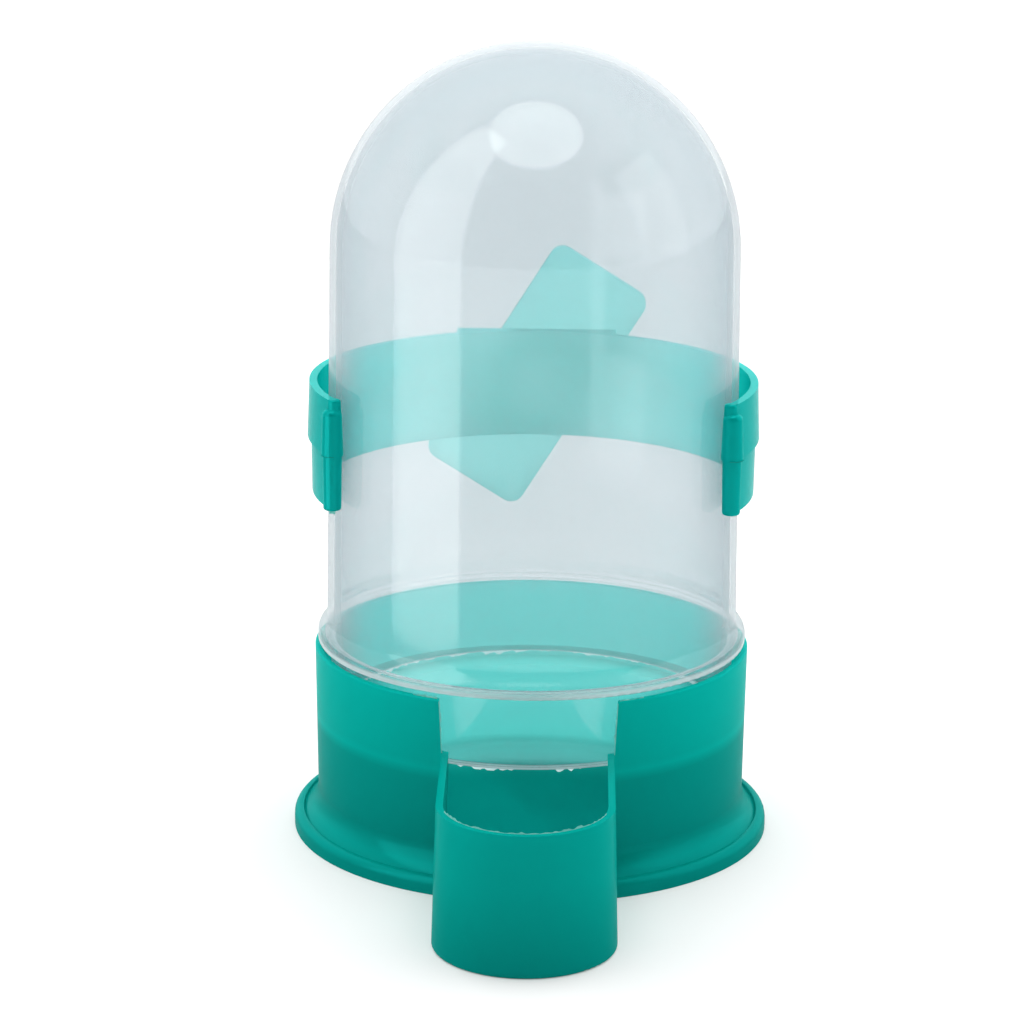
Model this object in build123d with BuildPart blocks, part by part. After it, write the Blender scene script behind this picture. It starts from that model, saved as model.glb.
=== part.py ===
from build123d import *
import math
import os

# Small gravity drinker for caged birds: a domed water tank, the base it drains into, and a clip for cage mesh.
# Millimetres. The origin is the centre of the base's flat underside, +Z is up, the drinking spout points to -Y
# and the clip's twist bar is on the +Y side.

# Tank: outside sizes, measured from the open mouth upwards
tank_radius = 35.4          # wall, just above the shoulder ring
tank_draft = 0.6            # degrees, the wall narrows towards the dome
tank_wall = 1.2
tank_body_length = 63.8     # shoulder ring to the foot of the dome
mouth_radius = 33.9
skirt_length = 12.9         # mouth to the underside of the shoulder ring
skirt_radius = 35.15        # skirt, where it meets the ring
shoulder_overhang = 1.6
shoulder_edge_height = 1.4  # upright edge of the ring, with its rounded lower corner
shoulder_edge_radius = 0.5
shoulder_slope_height = 3.3 # from that edge up to the wall

# Base: cup, foot and floor
seat_height = 20.7          # the tank's mouth rests here
shoulder_gap = 0.75         # clear height between the cup's rim and the shoulder ring
rim_reveal = 0.5            # how far the rim stands outside the shoulder ring
base_wall = 1.2
base_taper = 0.4            # the cup is this much narrower at the foot than at the rim
floor_thickness = 1.6
floor_fillet = 2.0
foot_flare = 4.2            # foot edge beyond the cup wall
foot_rise = 7.1             # height at which the flare leaves the wall
foot_edge_height = 1.6
foot_ridge_height = 2.95
foot_ridge_inset = 1.6      # ridge, in from the foot edge
foot_groove = 0.4           # depth of the line inside the ridge

# Seat ledge inside the cup
mouth_bearing = 0.7         # how much of the mouth stands on the ledge
ledge_edge = 0.9
ledge_height = 4.2          # ledge top down to the wall, the underside is a cone

# Drinking spout
spout_width = 30.0          # outside, at the underside
spout_reach = 59.4          # tank axis to the centre of the round end
spout_draft = 1.6           # degrees, the sides lean in towards the rim
spout_lip = 2.9             # spout rim above the seat
notch_draft = 2.8           # degrees, the notch widens upwards

# Cage clip
clip_centre_height = 70.0
band_height = 19.0
band_play = 1.2             # band to tank wall, all round
band_upper_thickness = 2.0  # at the parting line
band_lower_thickness = 1.4
clip_upper_draft = 2.0      # degrees, away from the parting line
clip_lower_draft = 0.8
arm_sweep = 27.5            # degrees that each arm reaches in front of the tank's side
bead_radius = 1.9
bead_clearance = 0.3        # bead to the widest part of the tank wall
bead_step = 0.25            # the lower half of each bead is this much smaller
bead_crown_drop = 1.6       # bead's crown below the band's top edge
post_radius = 1.45          # post behind each bead's crown, up to the band's top edge
post_inset = 0.05           # post inside the bead's inner edge
pad_width = 28.7
pad_projection = 0.8        # pad face beyond the band
neck_diameter = 10.0
wire_gap = 3.6              # between the pad and the twist bar, for the cage wires
bar_length = 46.0
bar_width = 20.0
bar_thickness = 2.4
bar_corner_radius = 2.5
bar_tilt = 32.0             # degrees from upright, top end towards +X

# Rounded edges
rim_round = 0.3             # cup rim
spout_foot_round = 0.5
bar_round = 0.6
bead_tip_round = 0.5
bead_crown_round = 1.1

# Heights and radii that follow from the sizes above
shoulder_bottom = seat_height + skirt_length
shoulder_edge_top = shoulder_bottom + shoulder_edge_height
shoulder_top = shoulder_edge_top + shoulder_slope_height
shoulder_radius = tank_radius + shoulder_overhang
dome_foot = shoulder_top + tank_body_length
dome_radius = tank_radius - tank_body_length * math.tan(math.radians(tank_draft))
rim_height = shoulder_bottom - shoulder_gap
rim_radius = shoulder_radius + rim_reveal
foot_wall_radius = rim_radius - base_taper
foot_radius = foot_wall_radius + foot_flare
spout_rim_height = seat_height + spout_lip
ledge_bore = mouth_radius - mouth_bearing
ledge_root = foot_wall_radius - base_wall / 2
trough_width = spout_width - 2 * base_wall
trough_start = ledge_bore * 0.75
notch_width = spout_width - 2 * spout_rim_height * math.tan(math.radians(spout_draft))
band_inside = tank_radius + band_play
band_top = clip_centre_height + band_height / 2
band_bottom = clip_centre_height - band_height / 2
upper_draft_in = band_height / 2 * math.tan(math.radians(clip_upper_draft))
lower_draft_in = band_height / 2 * math.tan(math.radians(clip_lower_draft))
arm_direction = Vector(1, 0, 0).rotate(Axis.Z, -arm_sweep)
post_place = arm_direction * (tank_radius + bead_clearance + post_inset + post_radius)
bead_crown_height = band_height / 2 - bead_crown_drop
bead_crown_draft_in = bead_crown_height * math.tan(math.radians(clip_upper_draft))
bead_place = arm_direction * (tank_radius + bead_clearance + bead_radius)
pad_face = band_inside + band_upper_thickness + pad_projection
pad_seat_radius = band_inside + band_lower_thickness / 2
pad_root = math.sqrt(pad_seat_radius**2 - (pad_width / 2) ** 2)


# Tank: one blown shell, so its inside follows its outside
with BuildPart() as tank:
    with BuildSketch(Plane.XZ):
        with BuildLine():
            mouth_line = Line((0, seat_height), (mouth_radius, seat_height))
            skirt_line = Line(mouth_line @ 1, (skirt_radius, shoulder_bottom))
            ring_under = Line(skirt_line @ 1, (shoulder_radius - shoulder_edge_radius, shoulder_bottom))
            ring_corner = TangentArc(
                ring_under @ 1,
                (shoulder_radius, shoulder_bottom + shoulder_edge_radius),
                tangent=(1, 0),
            )
            ring_edge = Line(ring_corner @ 1, (shoulder_radius, shoulder_edge_top))
            ring_slope = Spline(
                ring_edge @ 1,
                (tank_radius, shoulder_top),
                tangents=((0, 1), (0, 1)),
            )
            wall_line = Line(ring_slope @ 1, (dome_radius, dome_foot))
            dome_arc = ThreePointArc(
                wall_line @ 1,
                (dome_radius * math.sqrt(0.5), dome_foot + dome_radius * math.sqrt(0.5)),
                (0, dome_foot + dome_radius),
            )
            Line(dome_arc @ 1, mouth_line @ 0)
        make_face()
    revolve(axis=Axis.Z)
    mouth_face = tank.faces().sort_by(Axis.Z)[0]
    offset(amount=-tank_wall, openings=mouth_face)
tank.part.label = "tank"


# Base: cup, foot, floor, seat ledge and drinking spout in one moulding
with BuildPart() as base:
    with BuildSketch(Plane.XZ):
        with BuildLine():
            underside = Line((0, 0), (foot_radius, 0))
            foot_edge = Line(underside @ 1, (foot_radius, foot_edge_height))
            foot_round = TangentArc(
                foot_edge @ 1,
                (foot_radius - foot_ridge_inset, foot_ridge_height),
                tangent=(0, 1),
            )
            groove_line = Line(
                foot_round @ 1,
                (foot_radius - foot_ridge_inset - foot_groove / 2, foot_ridge_height - foot_groove),
            )
            flare_arc = TangentArc(
                (foot_wall_radius, foot_rise),
                groove_line @ 1,
                tangent=(0, -1),
            )
            cup_line = Line(flare_arc @ 0, (rim_radius, rim_height))
            rim_line = Line(cup_line @ 1, (0, rim_height))
            Line(rim_line @ 1, underside @ 0)
        make_face()
    revolve(axis=Axis.Z)

    with BuildSketch(Plane.XY):
        with Locations((0, -spout_reach / 2)):
            Rectangle(spout_width, spout_reach)
        with Locations((0, -spout_reach)):
            Circle(spout_width / 2)
    extrude(amount=spout_rim_height, taper=spout_draft)

    with BuildSketch(Plane.XZ):
        with BuildLine():
            bowl_floor = Line((0, floor_thickness), (foot_wall_radius - base_wall, floor_thickness))
            bowl_wall = Line(bowl_floor @ 1, (rim_radius - base_wall, rim_height))
            bowl_top = Line(bowl_wall @ 1, (0, rim_height))
            Line(bowl_top @ 1, bowl_floor @ 0)
        bowl_face = make_face()
        fillet(bowl_face.vertices().group_by(Axis.Y)[0].sort_by(Axis.X)[-1], radius=floor_fillet)
    revolve(axis=Axis.Z, mode=Mode.SUBTRACT)

    # Seat ledge: a ring with a flat top and a conical underside
    with BuildSketch(Plane.XZ):
        with BuildLine():
            ledge_top = Line((ledge_root, seat_height), (ledge_bore, seat_height))
            ledge_face = Line(ledge_top @ 1, (ledge_bore, seat_height - ledge_edge))
            ledge_under = Line(ledge_face @ 1, (ledge_root, seat_height - ledge_height))
            Line(ledge_under @ 1, ledge_top @ 0)
        make_face()
    revolve(axis=Axis.Z)

    # Trough of the spout, from inside the bowl to the round end
    with BuildSketch(Plane.XY.offset(floor_thickness)):
        with Locations((0, -(trough_start + spout_reach) / 2)):
            Rectangle(trough_width, spout_reach - trough_start)
        with Locations((0, -spout_reach)):
            Circle(trough_width / 2)
    extrude(amount=spout_rim_height - floor_thickness, taper=spout_draft, mode=Mode.SUBTRACT)

    # Notch in the cup wall over the spout, where the bird reaches the water
    with BuildSketch(Plane.XY.offset(spout_rim_height)):
        with Locations((0, -rim_radius)):
            Rectangle(notch_width, 2 * (rim_radius - trough_start))
    extrude(amount=rim_height - spout_rim_height, taper=-notch_draft, mode=Mode.SUBTRACT)

    # Rounded cup rim, and the spout's lower edge
    fillet(base.edges().group_by(Axis.Z)[-1], radius=rim_round)
    underside_edges = base.edges().group_by(Axis.Z)[0]
    fillet(underside_edges.filter_by_position(Axis.Y, -2 * spout_reach, -foot_radius), radius=spout_foot_round)
base.part.label = "base"


# Post that carries each arm's end up to the band's top edge, behind the bead's crown
with BuildPart() as post:
    Cone(
        post_radius,
        post_radius - upper_draft_in,
        band_height / 2,
        align=(Align.CENTER, Align.CENTER, Align.MIN),
    )
    fillet(post.edges().group_by(Axis.Z)[-1], radius=bead_tip_round)

# Bead that ends each of the clip's arms: two drafted halves with a step at the parting line
with BuildPart() as bead:
    Cone(
        bead_radius,
        bead_radius - bead_crown_draft_in,
        bead_crown_height,
        align=(Align.CENTER, Align.CENTER, Align.MIN),
    )
    Cone(
        bead_radius - bead_step - lower_draft_in,
        bead_radius - bead_step,
        band_height / 2,
        align=(Align.CENTER, Align.CENTER, Align.MAX),
    )
    fillet(bead.edges().group_by(Axis.Z)[0], radius=bead_tip_round)
    fillet(bead.edges().group_by(Axis.Z)[-1], radius=bead_crown_round)

# Cage clip: a spring band in two drafted halves, with beads on its arms and the twist bar behind
with BuildPart() as cage_clip:
    # Band, swept round the back from one arm to the other, stepped at the parting line
    with BuildSketch(Plane((0, 0, 0), x_dir=arm_direction, z_dir=arm_direction.rotate(Axis.Z, -90))):
        with BuildLine():
            Polyline(
                (band_inside + upper_draft_in, band_top),
                (band_inside + band_upper_thickness - upper_draft_in, band_top),
                (band_inside + band_upper_thickness, clip_centre_height),
                (band_inside + band_lower_thickness, clip_centre_height),
                (band_inside + band_lower_thickness - lower_draft_in, band_bottom),
                (band_inside + lower_draft_in, band_bottom),
                (band_inside, clip_centre_height),
                close=True,
            )
        make_face()
    revolve(axis=Axis.Z, revolution_arc=180 + 2 * arm_sweep)

    # Beads along the arms' ends, where the clip grips the tank
    for side in (1, -1):
        with Locations((side * bead_place.X, bead_place.Y, clip_centre_height)):
            add(bead.part)
        with Locations((side * post_place.X, post_place.Y, clip_centre_height)):
            add(post.part)

    # Rear pad, flat behind and seated in the band
    with BuildSketch(Plane.XY.offset(band_bottom)):
        with Locations((0, (pad_face + pad_root) / 2)):
            Rectangle(pad_width, pad_face - pad_root)
        Circle(pad_seat_radius, mode=Mode.SUBTRACT)
    extrude(amount=band_height)

    # Neck and twist bar
    with BuildSketch(Plane.XZ.offset(-pad_face)):
        with Locations((0, clip_centre_height)):
            Circle(neck_diameter / 2)
    extrude(amount=-wire_gap)
    with BuildSketch(Plane.XZ.offset(-pad_face - wire_gap)):
        with Locations((0, clip_centre_height)):
            RectangleRounded(bar_width, bar_length, bar_corner_radius, rotation=-bar_tilt)
    extrude(amount=-bar_thickness)
    bar_faces = cage_clip.faces().filter_by(Axis.Y).sort_by(Axis.Y)
    fillet(bar_faces[-1].edges(), radius=bar_round)
cage_clip.part.label = "cage_clip"


os.makedirs("parts", exist_ok=True)
for piece in (tank, base, cage_clip):
    export_step(piece.part, f"parts/{piece.part.label}.step")
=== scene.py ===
# %% [markdown]
# # A cage drinker in three mouldings
#
# This lesson dresses a small gravity drinker for caged birds: a milky water tank, a teal base with a long
# drinking spout, and a teal clip that holds it on a cage. The shapes come from the CAD model, which is
# loaded first and never moved. Blender's share is the plastic itself, the ragged flash that the moulds
# leave behind, and the light. Everything is in metres, in the same frame as the CAD: the spout points to -Y
# and +Z is up.

# %% Load the CAD model
import bpy
import math
from mathutils import Matrix, Vector, noise


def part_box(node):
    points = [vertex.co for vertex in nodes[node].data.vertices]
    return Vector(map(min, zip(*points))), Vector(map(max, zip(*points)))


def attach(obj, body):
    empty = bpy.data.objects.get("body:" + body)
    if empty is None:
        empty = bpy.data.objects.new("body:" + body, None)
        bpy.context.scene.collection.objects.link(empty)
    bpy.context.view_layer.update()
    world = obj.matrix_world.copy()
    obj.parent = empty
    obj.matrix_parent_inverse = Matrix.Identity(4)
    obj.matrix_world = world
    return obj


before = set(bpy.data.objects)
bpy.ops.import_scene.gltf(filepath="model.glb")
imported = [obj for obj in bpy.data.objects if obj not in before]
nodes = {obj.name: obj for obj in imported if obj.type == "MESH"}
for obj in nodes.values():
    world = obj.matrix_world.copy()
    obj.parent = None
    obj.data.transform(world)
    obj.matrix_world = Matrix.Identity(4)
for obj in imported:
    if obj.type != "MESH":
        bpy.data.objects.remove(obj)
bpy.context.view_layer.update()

# %% [markdown]
# ## Where the drinker's own landmarks are
#
# The flash pieces further down have to sit on real edges. Instead of typing those sizes again, they are
# read from the CAD meshes: the lowest ring of the tank is its mouth, the highest ring of the base is its
# rim.

# %% Read the landmarks
MM = 0.001

tank_low, tank_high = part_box("tank")
base_low, base_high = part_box("base")


def corners(node):
    """The CAD vertices of a node."""
    return [v.co.copy() for v in nodes[node].data.vertices]


def radius_at(node, height, pick, slack=0.05 * MM):
    """The smallest or largest radius of a node's vertices at one height."""
    return pick(math.hypot(v.x, v.y) for v in corners(node) if abs(v.z - height) < slack)


mouth_height = tank_low.z
mouth_inside = radius_at("tank", mouth_height, min)
rim_height = base_high.z
print("mouth radius", round(mouth_inside / MM, 2), "mm at height", round(mouth_height / MM, 2), "mm")

# %% [markdown]
# ## The camera
#
# A long lens from well back keeps the tank's sides nearly upright, as in a catalogue picture. The camera
# looks down by about fifteen degrees, which shows the dome's top, the base's foot and the water opening at
# once. It is built from an aim point and two angles, so that it can be turned without finding new
# coordinates.

# %% Place the camera
AIM_HEIGHT = 0.0558
CAMERA_DISTANCE = 0.6365
CAMERA_ELEVATION = math.radians(15.19)
CAMERA_AZIMUTH = math.radians(0.98)
CAMERA_SIDESTEP = -0.00355
CAMERA_ROLL = math.radians(0.455)
LENS_MM = 129.9

camera = bpy.data.objects.new("camera", bpy.data.cameras.new("camera"))
bpy.context.scene.collection.objects.link(camera)
camera.data.lens = LENS_MM
camera.data.sensor_width = 36.0
camera.data.clip_start = 0.01
camera.data.clip_end = 50.0
camera.rotation_mode = "QUATERNION"

across = Vector((math.cos(CAMERA_AZIMUTH), math.sin(CAMERA_AZIMUTH), 0))
back = Vector((
    math.sin(CAMERA_AZIMUTH) * math.cos(CAMERA_ELEVATION),
    -math.cos(CAMERA_AZIMUTH) * math.cos(CAMERA_ELEVATION),
    math.sin(CAMERA_ELEVATION),
))
camera.location = Vector((0, 0, AIM_HEIGHT)) + across * CAMERA_SIDESTEP + back * CAMERA_DISTANCE
facing = (-back).to_track_quat("-Z", "Y")
camera.rotation_quaternion = Matrix.Rotation(CAMERA_ROLL, 3, back).to_quaternion() @ facing
bpy.context.scene.camera = camera
print("camera at", [round(v, 3) for v in camera.location])

# %% [markdown]
# ## A short way to write a shader
#
# Every finish in this lesson is a small graph of nodes, and most of the nodes are of a few kinds: a ramp
# that turns a measure into a share, a blend of two colours, one Math operation, a curve that rises towards
# a surface's edges, and a mix of two shaders. One helper opens an empty material, and one function for each
# kind keeps the recipes short.

# %% Make the shader helpers


def fresh_material(name):
    """An empty node material and a helper that adds a node with its settings."""
    material = bpy.data.materials.new(name)
    material.use_nodes = True
    tree = material.node_tree
    tree.nodes.clear()

    def node(kind, **settings):
        made = tree.nodes.new(kind)
        for key, value in settings.items():
            if key in made.inputs:
                made.inputs[key].default_value = value
            else:
                setattr(made, key, value)
        return made

    return material, node, tree.links.new


def ramp(node, link, source, ends, values=(0, 1), smooth=True):
    """A socket that goes from one value to the other while the source goes from end to end."""
    made = node("ShaderNodeMapRange", interpolation_type="SMOOTHSTEP" if smooth else "LINEAR")
    made.inputs["From Min"].default_value = ends[0]
    made.inputs["From Max"].default_value = ends[1]
    made.inputs["To Min"].default_value = values[0]
    made.inputs["To Max"].default_value = values[1]
    link(source, made.inputs["Value"])
    return made.outputs["Result"]


def blend(node, link, share, first, second, **settings):
    """The colour between two colours. Each of the two is a fixed colour or the socket of another node."""
    made = node("ShaderNodeMix", data_type="RGBA", **settings)
    for socket, source in zip((made.inputs[0], made.inputs[6], made.inputs[7]), (share, first, second)):
        if isinstance(source, bpy.types.NodeSocket):
            link(source, socket)
        else:
            socket.default_value = source
    return made.outputs[2]


def combine(node, link, operation, first, second):
    """One Math operation on two numbers. Each is a fixed number or the socket of another node."""
    made = node("ShaderNodeMath", operation=operation)
    for socket, source in zip(made.inputs, (first, second)):
        if isinstance(source, bpy.types.NodeSocket):
            link(source, socket)
        else:
            socket.default_value = source
    return made.outputs[0]


def edge_rise(node, link, power):
    """0 where the surface faces the eye and 1 where it is seen edge-on, with a bend in between."""
    weight = node("ShaderNodeLayerWeight", Blend=0.5)
    return combine(node, link, "POWER", weight.outputs["Facing"], power)


def mix_shaders(node, link, share, first, second):
    """A mix of two shaders. The share of the second one is a number or a socket."""
    made = node("ShaderNodeMixShader")
    if isinstance(share, bpy.types.NodeSocket):
        link(share, made.inputs[0])
    else:
        made.inputs[0].default_value = share
    link(first, made.inputs[1])
    link(second, made.inputs[2])
    return made.outputs[0]


def finish_material(node, link, surface):
    """Send a shader to the material's output."""
    link(surface, node("ShaderNodeOutputMaterial").inputs["Surface"])


print("helpers:", ramp.__name__, blend.__name__, combine.__name__, edge_rise.__name__, mix_shaders.__name__)

# %% [markdown]
# ## The floor
#
# The drinker stands on a white table that runs out of sight. A Principled shader gives the table its paint,
# and a little emission keeps it white far from the lamps. Close to the camera the paint and the glow both
# fade a little, so that the base's front is not lit from below.

# %% Lay the floor
FLOOR_SIZE = 12.0
PAINT_DARK = (0.71, 0.71, 0.71, 1)
PAINT_LIGHT = (0.73, 0.73, 0.73, 1)
GLOW_REACH = (0.15, 1.1)
GLOW_NEAR_AND_FAR = (0.23, 0.27)
NEAR_FADE_FROM = (-0.45, -0.12)
NEAR_FADE_SHARE = 0.72

floor_paint, node, link = fresh_material("floor_paint")
grain = node("ShaderNodeTexNoise", Scale=3.0, Detail=2.0)
shade = node("ShaderNodeValToRGB")
shade.color_ramp.elements[0].color = PAINT_DARK
shade.color_ramp.elements[1].color = PAINT_LIGHT
link(grain.outputs["Fac"], shade.inputs["Fac"])

spot = node("ShaderNodeTexCoord")
axes = node("ShaderNodeSeparateXYZ")
link(spot.outputs["Object"], axes.inputs["Vector"])
near_fade = ramp(node, link, axes.outputs["Y"], NEAR_FADE_FROM, (NEAR_FADE_SHARE, 1))
white = blend(node, link, 1.0, shade.outputs["Color"], near_fade, blend_type="MULTIPLY")

distance = node("ShaderNodeVectorMath", operation="LENGTH")
link(spot.outputs["Object"], distance.inputs[0])
glow = ramp(node, link, distance.outputs["Value"], GLOW_REACH, GLOW_NEAR_AND_FAR, smooth=False)

paint = node("ShaderNodeBsdfPrincipled", Roughness=0.9)
link(white, paint.inputs["Base Color"])
link(white, paint.inputs["Emission Color"])
link(glow, paint.inputs["Emission Strength"])
finish_material(node, link, paint.outputs["BSDF"])

half = FLOOR_SIZE / 2
floor_mesh = bpy.data.meshes.new("floor")
floor_mesh.from_pydata(
    [(-half, -half, 0), (half, -half, 0), (half, half, 0), (-half, half, 0)], [], [(0, 1, 2, 3)]
)
floor = bpy.data.objects.new("floor", floor_mesh)
floor.data.materials.append(floor_paint)
bpy.context.scene.collection.objects.link(floor)
print("floor of", FLOOR_SIZE, "m")

# %% [markdown]
# ## The room's light
#
# Clear plastic has no look of its own: it shows what is around it. A bright white room behind the drinker
# lights it from the back, which is what makes thin teal plastic glow. The room is dark on the camera's
# side, so that the fronts keep their shading.

# %% Light the room
ROOM_BEHIND = 2.2
ROOM_FRONT = 0.06
ROOM_TURN = (-0.8, 0.6)

room = bpy.data.worlds.new("room")
room.use_nodes = True
bpy.context.scene.world = room
tree = room.node_tree
background = tree.nodes["Background"]
background.inputs["Color"].default_value = (1, 1, 1, 1)
coordinates = tree.nodes.new("ShaderNodeTexCoord")
split = tree.nodes.new("ShaderNodeSeparateXYZ")
fade = tree.nodes.new("ShaderNodeMapRange")
fade.interpolation_type = "SMOOTHSTEP"
fade.inputs["From Min"].default_value = ROOM_TURN[0]
fade.inputs["From Max"].default_value = ROOM_TURN[1]
fade.inputs["To Min"].default_value = ROOM_FRONT
fade.inputs["To Max"].default_value = ROOM_BEHIND
tree.links.new(coordinates.outputs["Generated"], split.inputs["Vector"])
tree.links.new(split.outputs["Y"], fade.inputs["Value"])
tree.links.new(fade.outputs["Result"], background.inputs["Strength"])
bpy.context.scene.view_settings.view_transform = "Standard"
print("room light", ROOM_FRONT, "in front and", ROOM_BEHIND, "behind")

# %% [markdown]
# ## Soft boxes
#
# Each lamp is a plain area light aimed at the drinker. What matters is where it is mirrored: the round one
# overhead makes the oval on the dome, the tall one on the left makes the long bright strip with a sharp
# right edge, and a softer one on the right makes the wide pale patch. The two cards at the sides are only
# there to be mirrored, so their light is switched off for everything else.

# %% Hang the lights


def soft_box(name, place, aim, size, power, shape="RECTANGLE", lights=True):
    """An area light at a place, aimed at a point. One that does not light is only seen as a reflection."""
    light = bpy.data.lights.new(name, "AREA")
    light.shape = shape
    light.size = size[0]
    light.size_y = size[1]
    light.energy = power
    lamp = bpy.data.objects.new(name, light)
    bpy.context.scene.collection.objects.link(lamp)
    lamp.location = place
    lamp.visible_diffuse = lights
    lamp.visible_transmission = lights
    lamp.rotation_mode = "QUATERNION"
    lamp.rotation_quaternion = (Vector(aim) - Vector(place)).to_track_quat("-Z", "Y")
    return lamp


soft_box("overhead", (0.0, -0.16, 0.72), (0, -0.02, 0.10), (0.50, 0.50), 1.7, "ELLIPSE")
soft_box("left_card", (-0.124, -0.085, 0.245), (0, 0, 0.245), (0.106, 0.48), 0.36, lights=False)
soft_box("right_card", (0.56, -0.12, 0.32), (0, 0, 0.12), (0.34, 0.50), 0.42, lights=False)

# %% [markdown]
# ## Milky plastic: how much haze
#
# Natural polypropylene is neither glass nor paint. Part of the light goes straight through, so the clip
# behind it can be seen, and part is scattered, which lays a pale haze over everything. A volume would do
# this too, but it is slow to render. Here the haze is a half-and-half mix of a Diffuse and a Translucent
# shader, the clear part is a Transparent shader, and the share between them follows Layer Weight, because
# there is more wall to look through near the edges.

# %% Start the tank's plastic
HAZE_HEAD_ON = 0.17
HAZE_EDGE_ON = 0.70
HAZE_RISE = 3.0
HAZE_COOL = (0.375, 0.465, 0.52, 1)
HAZE_PALE = (0.415, 0.505, 0.555, 1)
HAZE_AT_EDGES = (0.68, 0.70, 0.72, 1)

milky, node, link = fresh_material("milky_polypropylene")
where = node("ShaderNodeTexCoord")
axes = node("ShaderNodeSeparateXYZ")
link(where.outputs["Object"], axes.inputs["Vector"])

haze_rise = edge_rise(node, link, HAZE_RISE)
haze_share = ramp(node, link, haze_rise, (0, 1), (HAZE_HEAD_ON, HAZE_EDGE_ON), smooth=False)
cloud = node("ShaderNodeTexNoise", Scale=35.0, Detail=4.0)
link(where.outputs["Object"], cloud.inputs["Vector"])
cloudy = blend(node, link, cloud.outputs["Fac"], HAZE_COOL, HAZE_PALE)
pale = blend(node, link, haze_rise, cloudy, HAZE_AT_EDGES)
print("haze from", HAZE_HEAD_ON, "head-on to", HAZE_EDGE_ON, "edge-on")

# %% [markdown]
# ## Milky plastic: the thick ring and the shoulder highlight
#
# At its mouth the tank's wall is thick, and thick plastic is whiter. The band at the shoulder is a painted
# highlight, where the shoulder's rounded edges would mirror the lamps. Both are level rings, so a colour
# ramp over the height can draw them, with one stop for each edge of a ring.
#
# On the real tank they run all the way round. Here a ramp along Y leaves them off the rear half, because
# they would show through the tank as grey lines in the view from the front. That is a shortcut with a
# price: seen from behind, the rings are missing. Take near_side out to have them all round.

# %% Whiten the thick ring and paint the shoulder highlight
RINGS_FOOT = 20.0
RINGS_SPAN = 20.0
MOUTH_WHITE = 0.75
# The two stops at the mouth whiten its thick wall. The stops from 33.8 to 35.1 mm are a painted highlight
# on the shoulder.
RING_AND_HIGHLIGHT_STOPS = (
    (21.0, 0.8),
    (21.3, 0.0),
    (33.5, 0.0),
    (33.8, 0.85),
    (34.5, 0.8),
    (35.1, 0.1),
    (36.0, 0.0),
)
RING_MILK_AND_HIGHLIGHT = (0.93, 0.96, 0.97, 1)
NEAR_SIDE_ENDS = (0, 10 * MM)

height = ramp(
    node, link, axes.outputs["Z"], (RINGS_FOOT * MM, (RINGS_FOOT + RINGS_SPAN) * MM), smooth=False
)
ring_and_highlight_ramp = node("ShaderNodeValToRGB")
ring_and_highlight_ramp.color_ramp.elements[0].color = (MOUTH_WHITE, MOUTH_WHITE, MOUTH_WHITE, 1)
ring_and_highlight_ramp.color_ramp.elements[1].color = (0, 0, 0, 1)
for level, share in RING_AND_HIGHLIGHT_STOPS:
    ring_and_highlight_ramp.color_ramp.elements.new((level - RINGS_FOOT) / RINGS_SPAN).color = (share, share, share, 1)
link(height, ring_and_highlight_ramp.inputs["Fac"])
# The painted shoulder highlight and the whitened mouth ring are kept to the near half.
near_side = ramp(node, link, axes.outputs["Y"], NEAR_SIDE_ENDS, (1, 0), smooth=False)
near_rings_and_highlights = combine(node, link, "MULTIPLY", ring_and_highlight_ramp.outputs["Color"], near_side)
haze_ring_and_highlight_share = combine(node, link, "MAXIMUM", haze_share, near_rings_and_highlights)
milk_and_painted_highlight = blend(node, link, near_rings_and_highlights, pale, RING_MILK_AND_HIGHLIGHT)
print("ring edges at", [level for level, share in RING_AND_HIGHLIGHT_STOPS], "mm")

# %% [markdown]
# ## Milky plastic: the shine
#
# A mirror goes on top. A Fresnel node would turn into a full mirror where light leaves the wall from
# inside, and draw a grey ring round the tank. Layer Weight's Facing, raised to the fifth power, has the
# same bend and no such jump. A very weak bump keeps the reflections from being perfectly straight, as on
# any blown bottle.

# %% Finish the tank's plastic
TANK_SHINE = 0.09
MIRROR_HEAD_ON = 0.04
MIRROR_EDGE_ON = 0.35
MIRROR_BEND = 5.0
CLEAR_TINT = (0.97, 0.985, 0.99, 1)

scatter = node("ShaderNodeBsdfDiffuse")
glow = node("ShaderNodeBsdfTranslucent")
link(milk_and_painted_highlight, scatter.inputs["Color"])
link(milk_and_painted_highlight, glow.inputs["Color"])
haze = mix_shaders(node, link, 0.5, scatter.outputs[0], glow.outputs[0])
clear = node("ShaderNodeBsdfTransparent", Color=CLEAR_TINT)
body = mix_shaders(node, link, haze_ring_and_highlight_share, clear.outputs[0], haze)

ripple = node("ShaderNodeTexNoise", Scale=14.0, Detail=1.0, Roughness=0.4)
dimple = node("ShaderNodeBump", Strength=0.05, Distance=0.0005)
mirror = node("ShaderNodeBsdfAnisotropic", Roughness=TANK_SHINE)
link(where.outputs["Object"], ripple.inputs["Vector"])
link(ripple.outputs["Fac"], dimple.inputs["Height"])
link(dimple.outputs["Normal"], mirror.inputs["Normal"])
mirror_rise = edge_rise(node, link, MIRROR_BEND)
mirror_share = ramp(node, link, mirror_rise, (0, 1), (MIRROR_HEAD_ON, MIRROR_EDGE_ON), smooth=False)
finish_material(node, link, mix_shaders(node, link, mirror_share, body, mirror.outputs[0]))
print(milky.name, "has", len(milky.node_tree.nodes), "nodes")

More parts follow.
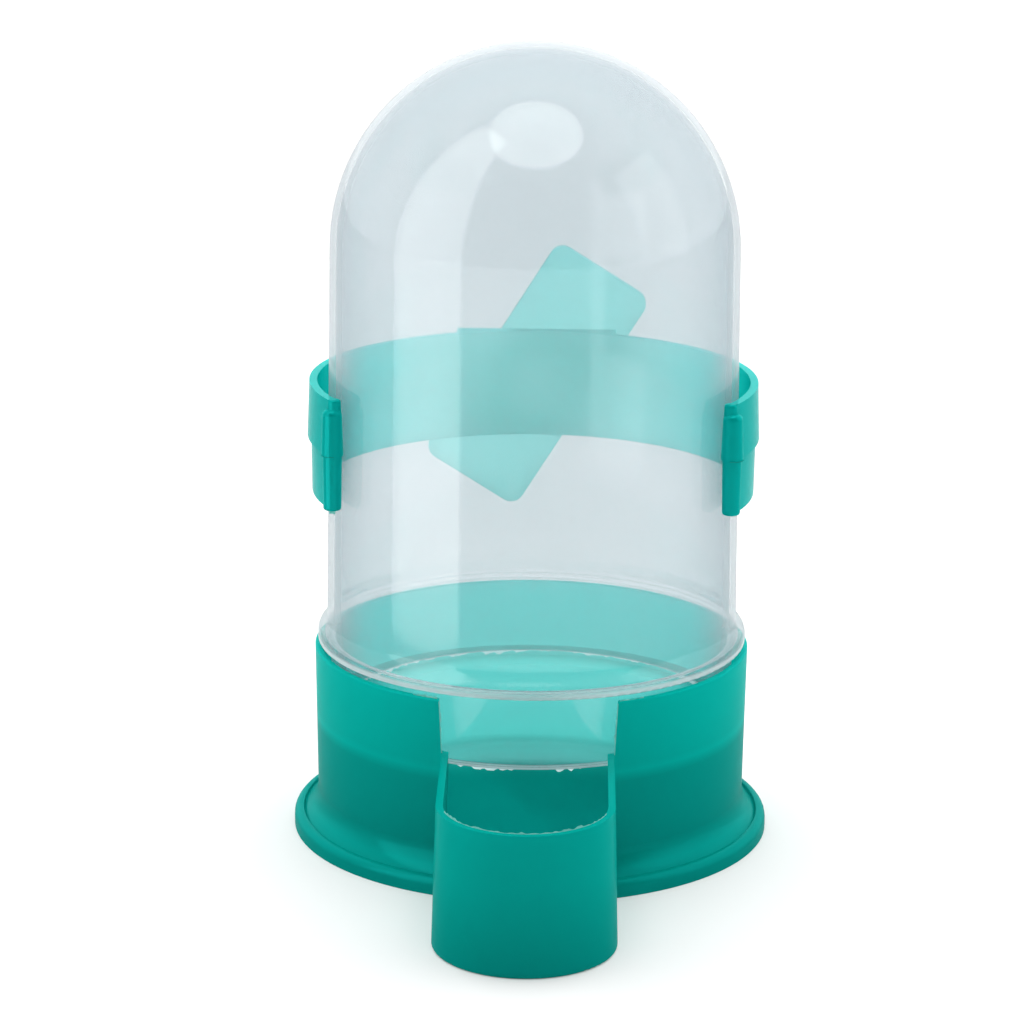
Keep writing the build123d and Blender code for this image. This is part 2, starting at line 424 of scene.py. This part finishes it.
# %% [markdown]
# ## Teal plastic: which part of the wall is this
#
# The base and the clip are the same resin, coloured. A coloured wall scatters some light back and lets some
# through. Subsurface scattering could work out how much, but thin walls need many samples before it is
# clean. So the wall is a Diffuse and a Translucent shader again, and two helpers set their shares with
# ramps over the part's own axes.
#
# The real resin is the same all over, so these ramps paint light and shade: they are tuned for the view
# from the front, where the rear walls glow through the tank with painted light and the front stays deep
# with painted shade. They are fixed to the part and not to the camera, so the rear half stays the more open
# one from wherever it is seen.

# %% Read the place on the wall
SHARE_RISES = (2 * MM, 22 * MM)
BACK_RISES = (14 * MM, 32 * MM)
FLOOR_ENDS = (1.8 * MM, 3.2 * MM)
CUP_STARTS = (-36.0 * MM, -34.6 * MM)
SPOUT_SPAN = (0, 15 * MM)
CUP_SPAN = (0, 33 * MM)
WHITE = (1, 1, 1, 1)


# The larger share behind paints light into the rear walls, and the smaller one in front paints shade.
def light_share(node, link, axes, shares):
    """How much light crosses the wall: the first share in front and in the floor, the second behind."""
    rearward = ramp(node, link, axes.outputs["Y"], SHARE_RISES)
    above_floor = ramp(node, link, axes.outputs["Z"], FLOOR_ENDS)
    thin = combine(node, link, "MULTIPLY", rearward, above_floor)
    return ramp(node, link, thin, (0, 1), shares, smooth=False)


def grey(value):
    """The same value in all three channels."""
    return (value, value, value, 1)


def painted_light_and_shade(node, link, axes, toward_back, shade_levels, spout_shade_levels):
    """Painted light and shade as a brightness: one row of stops up the cup, another up the spout, full at
    the back.
    """
    up_the_cup = ramp(node, link, axes.outputs["Z"], CUP_SPAN, smooth=False)
    shade_stop_ramp = node("ShaderNodeValToRGB")
    stops = shade_stop_ramp.color_ramp.elements
    stops[0].color = grey(shade_levels[0][1])
    stops[1].position = shade_levels[-1][0]
    stops[1].color = grey(shade_levels[-1][1])
    for position, value in shade_levels[1:-1]:
        stops.new(position).color = grey(value)
    link(up_the_cup, shade_stop_ramp.inputs["Fac"])
    cup_shading = blend(node, link, toward_back, shade_stop_ramp.outputs["Color"], WHITE)
    # The spout is painted darker towards its bottom: painted shade.
    spout_shading = ramp(node, link, axes.outputs["Z"], SPOUT_SPAN, spout_shade_levels, smooth=False)
    past_spout = ramp(node, link, axes.outputs["Y"], CUP_STARTS, smooth=False)
    return blend(node, link, past_spout, spout_shading, cup_shading)


print("light crosses more between", [round(v / MM) for v in SHARE_RISES], "mm along Y")

# %% [markdown]
# ## Teal plastic: its two colours
#
# Light that is scattered back has been in the colour for a short way only. Light that crosses the wall
# comes out stronger in green and blue. At the back a little red is painted into it, which makes the rear
# walls pale where they glow through the tank: painted light. Both colours are then multiplied by the
# painted shade. Fine streaks of noise keep the colour from being perfectly even.
#
# The far end of the cup's floor would show through the tank as a dark oval. A pale tone is painted on it to
# lighten that oval. The real floor has one colour, and the paint can be seen when the tank is off.

# %% Mix the two colours
CROSSING_FRONT = (0.0, 0.96, 0.92, 1)
CROSSING_GREEN_BLUE = (0.96, 0.93)
FAR_FLOOR_TONE = (0.40, 1.0, 0.96, 1)
FAR_FLOOR_TOP = (1.8 * MM, 3.6 * MM)
FAR_FLOOR_STARTS = (22.5 * MM, 28.5 * MM)


def teal_colours(node, link, axes, streaks, toward_back, painted_shading, tones, rear_red):
    """The colour that is scattered back and the colour that crosses the wall, both with the painted shade
    in them.
    """
    tone = blend(node, link, streaks, *tones)
    # Painted light: the red behind makes the rear walls pale.
    crossing_behind = (rear_red, *CROSSING_GREEN_BLUE, 1)
    crossing = blend(node, link, toward_back, CROSSING_FRONT, crossing_behind)
    shaded_tone = blend(node, link, 1.0, tone, painted_shading, blend_type="MULTIPLY")
    shaded_crossing = blend(node, link, 1.0, crossing, painted_shading, blend_type="MULTIPLY", clamp_result=True)
    low_down = ramp(node, link, axes.outputs["Z"], FAR_FLOOR_TOP, (1, 0))
    far_end = ramp(node, link, axes.outputs["Y"], FAR_FLOOR_STARTS)
    far_floor = combine(node, link, "MULTIPLY", low_down, far_end)
    return blend(node, link, far_floor, shaded_tone, FAR_FLOOR_TONE), shaded_crossing


print("far floor from", round(FAR_FLOOR_STARTS[0] / MM, 1), "mm along Y")

# %% [markdown]
# ## Teal plastic: its skin
#
# The skin is a mirror whose share rises towards the edges, as on the tank. Head-on its reflections take the
# colour of the plastic, because most of that light has been just under the skin, and edge-on they are
# white. The streaks also change how sharp the mirror is, and a fine bump breaks up its highlights.

# %% Make the skin and the whole recipe
MIRROR_TINT = (0.03, 1.0, 0.96, 1)
DULLEST = 1.25
SHARPEST = 0.8


def teal_skin(node, link, where, streaks, shine):
    """The mirror on the plastic, and how its share rises from head-on (0) to edge-on (1)."""
    ripple = node("ShaderNodeTexNoise", Scale=140.0, Detail=2.0)
    dimple = node("ShaderNodeBump", Strength=0.10, Distance=0.0003)
    mirror = node("ShaderNodeBsdfAnisotropic")
    link(where.outputs["Object"], ripple.inputs["Vector"])
    link(ripple.outputs["Fac"], dimple.inputs["Height"])
    link(dimple.outputs["Normal"], mirror.inputs["Normal"])
    dullness = ramp(node, link, streaks, (0, 1), (shine * SHARPEST, shine * DULLEST), smooth=False)
    link(dullness, mirror.inputs["Roughness"])
    rise = edge_rise(node, link, MIRROR_BEND)
    link(blend(node, link, rise, MIRROR_TINT, WHITE), mirror.inputs["Color"])
    return mirror.outputs[0], rise


def teal_plastic(name, shine, mirror_shares, shares, tones, rear_red, back_most, shade_levels, spout_shade_levels):
    """Coloured polypropylene: a wall that scatters and glows, with light and shade painted over it by
    place, under a skin that mirrors.
    """
    material, node, link = fresh_material(name)
    where = node("ShaderNodeTexCoord")
    axes = node("ShaderNodeSeparateXYZ")
    streak = node("ShaderNodeTexNoise", Scale=60.0, Detail=5.0, Roughness=0.6)
    link(where.outputs["Object"], axes.inputs["Vector"])
    link(where.outputs["Object"], streak.inputs["Vector"])
    streaks = streak.outputs["Fac"]

    toward_back = ramp(node, link, axes.outputs["Y"], BACK_RISES, (0, back_most))
    # Painted shade low in the cup and the spout, and painted light at the back.
    painted_shading = painted_light_and_shade(node, link, axes, toward_back, shade_levels, spout_shade_levels)
    tone, crossing = teal_colours(node, link, axes, streaks, toward_back, painted_shading, tones, rear_red)
    scatter = node("ShaderNodeBsdfDiffuse")
    through = node("ShaderNodeBsdfTranslucent")
    link(tone, scatter.inputs["Color"])
    link(crossing, through.inputs["Color"])
    share = light_share(node, link, axes, shares)
    wall = mix_shaders(node, link, share, scatter.outputs[0], through.outputs[0])

    mirror, rise = teal_skin(node, link, where, streaks, shine)
    mirror_share = ramp(node, link, rise, (0, 1), mirror_shares, smooth=False)
    finish_material(node, link, mix_shaders(node, link, mirror_share, wall, mirror))
    return material


print("skin from", SHARPEST, "to", DULLEST, "times each plastic's own dullness")

# %% [markdown]
# ## Teal plastic: one recipe for the base, one for the clip
#
# The base is satin. Its row of shade levels paints shade into the cup below the seat that the tank stands
# on, where less light gets in than these two simple shaders allow for. Its spout is painted darker towards
# the bottom. The clip is glossier, and its share rises further at the back, which paints more light into
# its rear. Then each moulding gets its plastic: the CAD meshes keep their shape and only change their
# material.

# %% Mix and apply the plastics
base_teal = teal_plastic(
    "base_teal",
    shine=0.17,
    mirror_shares=(0.035, 0.16),
    shares=(0.34, 0.82),
    tones=((0.0, 0.44, 0.375, 1), (0.0, 0.49, 0.415, 1)),
    rear_red=0.48,
    back_most=0.75,
    # Painted shade: the cup is darker below the seat at about 20.6 mm.
    shade_levels=(
        (0, 0.58),
        (0.06, 0.60),
        (0.12, 0.72),
        (0.21, 0.60),
        (0.57, 0.68),
        (0.625, 0.98),
        (0.66, 0.91),
        (1.0, 0.99),
    ),
    spout_shade_levels=(0.62, 0.78),
)
clip_teal = teal_plastic(
    "clip_teal",
    shine=0.07,
    mirror_shares=(0.06, 0.40),
    shares=(0.26, 0.88),
    tones=((0.0, 0.34, 0.305, 1), (0.0, 0.40, 0.355, 1)),
    rear_red=0.56,
    back_most=1.0,
    shade_levels=((0, 0.97), (1.0, 0.97)),
    spout_shade_levels=(1.0, 1.0),
)
for name, material in (("tank", milky), ("base", base_teal), ("cage_clip", clip_teal)):
    nodes[name].data.materials.clear()
    nodes[name].data.materials.append(material)
    print(name, "is", material.name)

# %% [markdown]
# ## A tool for mould flash
#
# Cheap mouldings are not trimmed. Where two halves of a mould meet, or where a cutter has passed, a thin
# ragged fin is left standing. One function makes them all: it walks along an edge, lifts a knife-thin wall
# from it, and lets two layers of noise decide how tall the wall is at each step. A slow layer gives the
# long waves, and a fast one gives the torn teeth. It could be painted on as a bump, but its outline would
# stay smooth then.

# %% Walk along an edge
STEP = 0.35 * MM


def walk(points, closed=False):
    """Evenly spaced places along a line of points, STEP apart."""
    ends = points + points[:1] if closed else points
    places = []
    for start, stop in zip(ends, ends[1:]):
        count = max(1, round((stop - start).length / STEP))
        places += [start.lerp(stop, i / count) for i in range(count)]
    if not closed:
        places.append(ends[-1])
    return places


def ring(radius, height, first=0, last=360, step=2):
    """Points on a level circle, between two angles in degrees."""
    angles = [math.radians(a) for a in range(first, last + 1, step)]
    return [Vector((radius * math.cos(a), radius * math.sin(a), height)) for a in angles]


print("steps of", round(STEP / MM, 2), "mm")

# %% Lift a torn fin from the edge
FIN_THICK = 0.14 * MM
FIN_ROOT = 0.04 * MM
WAVES = 160
TEETH = 1100
WAVE_SHARE = 0.9
TOOTH_SHARE = 0.8


def torn_share(place, seed):
    """How much of its full height a fin keeps at a place, from 0 to 1."""
    slow = 0.5 + WAVE_SHARE * noise.noise(place * WAVES + Vector((seed, 0, 0)))
    fast = noise.noise(place * TEETH + Vector((0, seed, 0)))
    return min(1, max(0, slow + TOOTH_SHARE * fast)) ** 2


def ragged_fin(name, body, material, places, lift, heights, seed, closed=False):
    """A torn fin along places. lift gives its direction at each place, heights its least and most."""
    count = len(places)
    low, high = heights
    verts = []
    for i, place in enumerate(places):
        before = places[i - 1] if i or closed else place
        after = places[(i + 1) % count] if i + 1 < count or closed else place
        up = lift(place).normalized()
        side = (after - before).cross(up).normalized() * FIN_THICK / 2
        height = low + (high - low) * torn_share(place, seed)
        foot = place - up * FIN_ROOT
        verts += [foot + side, foot - side, place + up * height]
    faces = []
    for i in range(count if closed else count - 1):
        a, b = 3 * i, 3 * ((i + 1) % count)
        faces += [(a, b, b + 2, a + 2), (a + 2, b + 2, b + 1, a + 1), (a + 1, b + 1, b, a)]
    if not closed:
        end = 3 * (count - 1)
        faces += [(0, 2, 1), (end, end + 1, end + 2)]
    mesh = bpy.data.meshes.new(name)
    mesh.from_pydata(verts, [], faces)
    mesh.materials.append(material)
    fin = bpy.data.objects.new(name, mesh)
    bpy.context.scene.collection.objects.link(fin)
    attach(fin, body)
    print(name, "has", count, "steps")
    return fin


# %% [markdown]
# ## Plastics for the flash
#
# A fin this thin holds hardly any colour, and its torn edge scatters light, so flash always looks paler
# than the part it grows from. The same diffuse and translucent halves are used, with a little transparency.
# The light that runs inside a wall leaves it at the fin's edge, and a weak Emission stands in for that.

# %% Mix the flash plastics


def flash_plastic(name, light_tone, dark_tone, opacity, edge_glow):
    """Pale, thin plastic with a grainy tone. edge_glow is the light that leaves through the torn edge."""
    material, node, link = fresh_material(name)
    where = node("ShaderNodeTexCoord")
    grain = node("ShaderNodeTexNoise", Scale=900.0, Detail=3.0)
    link(where.outputs["Object"], grain.inputs["Vector"])
    tone = blend(node, link, grain.outputs["Fac"], dark_tone, light_tone)
    scatter = node("ShaderNodeBsdfDiffuse")
    through = node("ShaderNodeBsdfTranslucent")
    edge = node("ShaderNodeEmission", Strength=edge_glow)
    for shader in (scatter, through, edge):
        link(tone, shader.inputs["Color"])
    haze = mix_shaders(node, link, 0.5, scatter.outputs[0], through.outputs[0])
    lit = node("ShaderNodeAddShader")
    link(haze, lit.inputs[0])
    link(edge.outputs[0], lit.inputs[1])
    clear = node("ShaderNodeBsdfTransparent")
    finish_material(node, link, mix_shaders(node, link, opacity, clear.outputs[0], lit.outputs[0]))
    return material


milky_flash = flash_plastic("milky_flash", (0.88, 0.92, 0.92, 1), (0.66, 0.74, 0.75, 1), 0.85, 0.40)
lip_flash = flash_plastic("lip_flash", (0.04, 0.52, 0.46, 1), (0.0, 0.36, 0.32, 1), 1.0, 0.0)
teal_flash = flash_plastic("teal_flash", (0.50, 0.82, 0.78, 1), (0.02, 0.45, 0.40, 1), 0.9, 0.15)
print("flash plastics:", milky_flash.name, lip_flash.name, teal_flash.name)

# %% [markdown]
# ## Flash on the tank's mouth
#
# The tank was blown closed and its mouth cut open afterwards. The cut left a wavy skirt that hangs below
# the rim by up to three quarters of a millimetre. It stays inside the bore of the seat in the base, so the
# tank still lifts out freely.

# %% Hang the mouth's flash
MOUTH_INSET = 0.22 * MM
DOWN = Vector((0, 0, -1))
UP = Vector((0, 0, 1))

mouth_edge = ring(mouth_inside + MOUTH_INSET, mouth_height, 0, 358)
ragged_fin(
    "mouth_flash",
    "tank",
    milky_flash,
    walk(mouth_edge, closed=True),
    lambda place: DOWN,
    (0.06 * MM, 0.75 * MM),
    seed=3,
    closed=True,
)

# %% [markdown]
# ## Burrs on the notch and the spout
#
# The notch in the base and the rim of the spout are where the mould's slides shut. Thin burrs lean into the
# notch from both of its upright edges, a few threads stand on its two upper corners, and a low fin runs
# round the spout's rim. The line of each edge is found by measuring the base mesh again.

# %% Measure the spout and the notch
CLEAR_OF_CUP = -45 * MM
RIM_DROP = 0.3 * MM
SLACK = 0.05 * MM

base_corners = corners("base")
spout_corners = [v for v in base_corners if v.y < CLEAR_OF_CUP]
spout_rim = max(v.z for v in spout_corners)
spout_outside = max(v.x for v in spout_corners if abs(v.z - spout_rim) < SLACK)
spout_tip = min(v.y for v in spout_corners if abs(v.z - spout_rim) < SLACK)
spout_centre = spout_tip + spout_outside
rim_outside = radius_at("base", rim_height - RIM_DROP, max, SLACK + 0.01 * MM)
notch_half_top = min(abs(v.x) for v in base_corners if v.z > rim_height - RIM_DROP - SLACK and v.y < 0)
print("spout rim at", round(spout_rim / MM, 2), "mm, half width", round(spout_outside / MM, 2))
print("notch half width", round(notch_half_top / MM, 2), "mm at the cup's rim")

# %% Raise the burrs on the notch
NOTCH_LEAN = -0.35
ABOVE_SPOUT = 0.1 * MM
BELOW_RIM = 0.25 * MM
NOTCH_FOOT_INSET = 0.12 * MM
CORNER_INSET = 0.45 * MM
CORNER_SPAN = 7
CORNERS = {-1: ("left", 239), 1: ("right", 294)}


def teal_burr(name, places, lift, heights, seed):
    """A pale fin that rides on the base."""
    return ragged_fin(name, "base", teal_flash, places, lift, heights, seed)


for side, (tag, corner_start) in CORNERS.items():
    top_depth = -math.sqrt(rim_outside ** 2 - notch_half_top ** 2)
    foot_depth = -math.sqrt((rim_outside - NOTCH_FOOT_INSET) ** 2 - spout_outside ** 2)
    upright = walk([
        Vector((side * spout_outside, foot_depth, spout_rim + ABOVE_SPOUT)),
        Vector((side * notch_half_top, top_depth, rim_height - BELOW_RIM)),
    ])
    inward = Vector((-side, NOTCH_LEAN, 0))
    teal_burr(f"notch_burr_{tag}", upright, lambda place: inward, (0.05 * MM, 0.60 * MM), 11 + side)
    corner = ring(
        rim_outside - CORNER_INSET, rim_height - 0.02 * MM, corner_start, corner_start + CORNER_SPAN, 1
    )
    teal_burr(f"corner_thread_{tag}", walk(corner), lambda place: UP, (0.05 * MM, 0.55 * MM), 17 + side)

# %% Raise the burr on the spout
SPOUT_INSET = 1.02 * MM

half = spout_outside - SPOUT_INSET
bend = [math.radians(a) for a in range(196, 345, 4)]
spout_line = [Vector((half * math.cos(a), spout_centre + half * math.sin(a), spout_rim)) for a in bend]
teal_burr("spout_burr", walk(spout_line), lambda place: UP, (0.04 * MM, 0.42 * MM), 29)

# %% [markdown]
# ## Flash on the clip's lips
#
# The clip's mould parts level, half-way up. Its line is still standing on the two lips, on the side that
# faces away from the tank. A small tongue of flash hangs under the left lip, where the mould leaked.

# %% Raise the lips' flash
LIP_ANGLE = math.radians(27.5)
LIP_FROM_AXIS = 37.6 * MM
LIP_RADIUS = 1.9 * MM
PARTING_HEIGHT = 70 * MM
BAND_FOOT = 60.52 * MM


def lip_centre(side):
    """The middle of a lip, seen from above, on the left (-1) or the right (1)."""
    return Vector((side * LIP_FROM_AXIS * math.cos(LIP_ANGLE), -LIP_FROM_AXIS * math.sin(LIP_ANGLE), 0))


def hang_tongue(centre):
    """The leaked tongue of flash under one lip."""
    tongue = [
        centre + Vector((-0.5 * MM, -0.4 * MM, BAND_FOOT)),
        centre + Vector((0.5 * MM, -0.5 * MM, BAND_FOOT)),
    ]
    ragged_fin(
        "lip_tongue",
        "clip",
        teal_flash,
        walk(tongue),
        lambda place: DOWN,
        (0.5 * MM, 1.1 * MM),
        seed=57,
    )


for side, tag in ((-1, "left"), (1, "right")):
    centre = lip_centre(side)
    heading = math.atan2(centre.y, centre.x)
    fan = [heading + math.radians(a) for a in range(-75, 76, 10)]
    lip_line = [
        centre + Vector((LIP_RADIUS * math.cos(a), LIP_RADIUS * math.sin(a), PARTING_HEIGHT)) for a in fan
    ]
    ragged_fin(
        f"lip_line_{tag}",
        "clip",
        lip_flash,
        walk(lip_line),
        lambda place: Vector((place.x - centre.x, place.y - centre.y, 0)),
        (0.05 * MM, 0.35 * MM),
        41 + side,
    )
    if side < 0:
        hang_tongue(centre)
